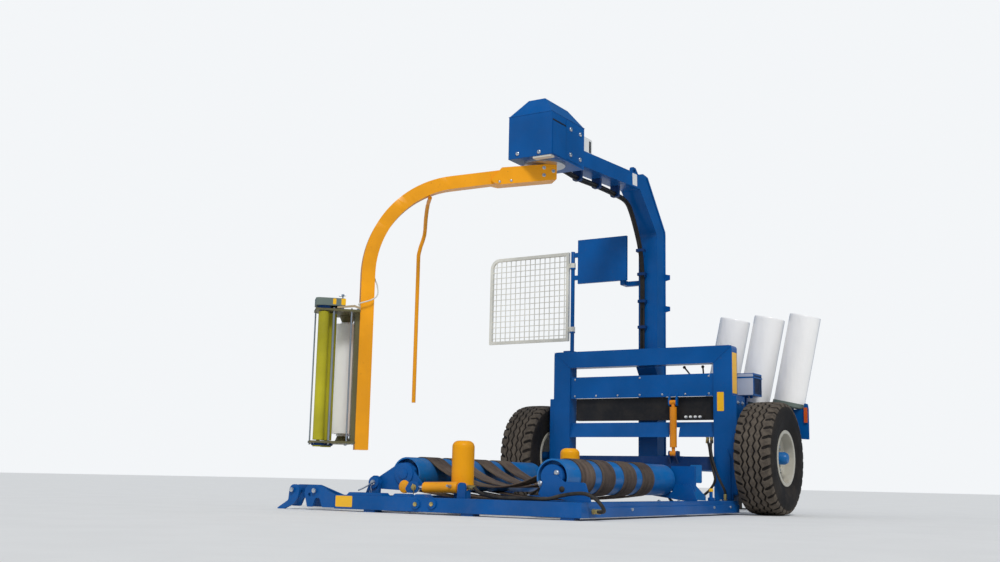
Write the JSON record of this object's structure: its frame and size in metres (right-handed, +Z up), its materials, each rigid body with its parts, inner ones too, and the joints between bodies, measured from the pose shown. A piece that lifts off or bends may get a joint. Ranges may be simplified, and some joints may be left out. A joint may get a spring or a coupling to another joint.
{
  "type": "trailed round bale wrapper",
  "caption": "Trailed farm bale wrapper with a roller and belt table, a mast with a turning wrap arm and film dispenser, and a rack of spare film rolls.",
  "frame": {"origin": "middle of the machine's plan on the ground it stands on", "axes": "+X to the machine's right, +Y in driving direction along the drawbar, +Z up"},
  "size_m": [2.8412, 5.5455, 2.935],
  "materials": {
    "tyre": "matt rubber, dusty",
    "rim_white": "satin off-white paint",
    "blue_paint": "gloss paint",
    "roller_blue": "gloss paint, worn",
    "yellow_paint": "gloss paint",
    "black_plastic": "matt",
    "belt_rubber": "matt, dusty",
    "chrome": "polished",
    "steel": "satin",
    "olive_paint": "satin",
    "roller_olive": "satin rubber",
    "cover_grey": "satin",
    "film_white": "glossy film",
    "galvanised": "galvanised wire",
    "lamp_red": "lens",
    "black_steel": "satin",
    "hose_black": "satin",
    "cable_white": "satin"
  },
  "bodies": {
    "chassis": {"axle_stubs": "blue_paint", "rear_beam": "blue_paint", "side_beams": "blue_paint", "hook_plates": "blue_paint", "portal": "blue_paint", "control_panel": "blue_paint", "valve_recess": "black_plastic", "low_beam": "blue_paint", "lift_cylinder": "yellow_paint", "mast": "blue_paint", "head_box": "blue_paint", "table_belts": "belt_rubber", "roller_right": "roller_blue", "roller_brackets": "blue_paint", "roller_drive": "roller_blue", "swing_bearings": "blue_paint", "guide_stands": "blue_paint", "guard_panel": "blue_paint", "roll_rack": "blue_paint", "film_rolls": "film_white", "control_box": "cover_grey", "lamp_plates": "blue_paint", "lamps": "lamp_red", "drawbar": "blue_paint", "towing_eye": "black_steel", "jack": "black_steel", "table_hose": "hose_black", "column_hoses": "hose_black", "mast_hoses": "hose_black"},
    "wheel_left": {"tyre_left": "tyre", "rim_left": "rim_white"},
    "wheel_right": {"tyre_right": "tyre", "rim_right": "rim_white"},
    "arm": {"rotor": "steel", "wrap_arm": "yellow_paint", "safety_bar": "yellow_paint", "dispenser_frame": "olive_paint", "stretch_rollers": "roller_olive", "gear_cover": "cover_grey", "dispenser_roll": "film_white", "arm_cable": "cable_white"},
    "swing": {"swing_arms": "blue_paint", "roller_left": "roller_blue"},
    "swing_barrel": {"swing_cylinder": "yellow_paint"},
    "swing_piston": {"swing_rod": "chrome"},
    "gate": {"mesh_guard": "galvanised"},
    "guide_rear": {"guide_roller_rear": "yellow_paint"},
    "guide_front": {"guide_roller_front": "yellow_paint"}
  },
  "joints": [
    {"name": "wheel_left_spin", "type": "hinge", "parent": "chassis", "child": "wheel_left", "pos_m": [-0.9276, 0.19775, 0.435], "axis": [1, 0, 0], "continuous": true},
    {"name": "wheel_right_spin", "type": "hinge", "parent": "chassis", "child": "wheel_right", "pos_m": [1.1324, 0.19775, 0.435], "axis": [1, 0, 0], "continuous": true},
    {"name": "arm_turn", "type": "hinge", "parent": "chassis", "child": "arm", "pos_m": [0.1024, -1.58225, 2.45], "axis": [0, 0, 1], "continuous": true},
    {"name": "roller_swing", "type": "hinge", "parent": "chassis", "child": "swing", "pos_m": [-0.6626, -1.58225, 0.19], "axis": [0, 1, 0], "range_deg": [0, 22], "deforming": ["table_belts"]},
    {"name": "cylinder_pivot", "type": "hinge", "parent": "chassis", "child": "swing_barrel", "pos_m": [0.0424, -2.42925, 0.175], "axis": [0, 1, 0], "range_deg": [-16.6, 0]},
    {"name": "rod_slide", "type": "slide", "parent": "swing_barrel", "child": "swing_piston", "axis": [-0.9997, 0, -0.0263], "range_m": [0, 0.0464]},
    {"name": "gate_swing", "type": "hinge", "parent": "chassis", "child": "gate", "pos_m": [-0.5776, 0.12975, 1.8], "axis": [0, 0, 1], "range_deg": [-90, 0]},
    {"name": "guide_rear_spin", "type": "hinge", "parent": "chassis", "child": "guide_rear", "pos_m": [-0.0546, -2.30725, 0.3], "axis": [0, 0, 1], "continuous": true},
    {"name": "guide_front_spin", "type": "hinge", "parent": "chassis", "child": "guide_front", "pos_m": [-0.0546, -0.85725, 0.3], "axis": [0, 0, 1], "continuous": true}
  ],
  "couplings": [
    {"joint": "cylinder_pivot", "follows": "roller_swing", "ratio": -0.75204},
    {"joint": "rod_slide", "follows": "roller_swing", "m_per_rad": 0.12072}
  ]
}
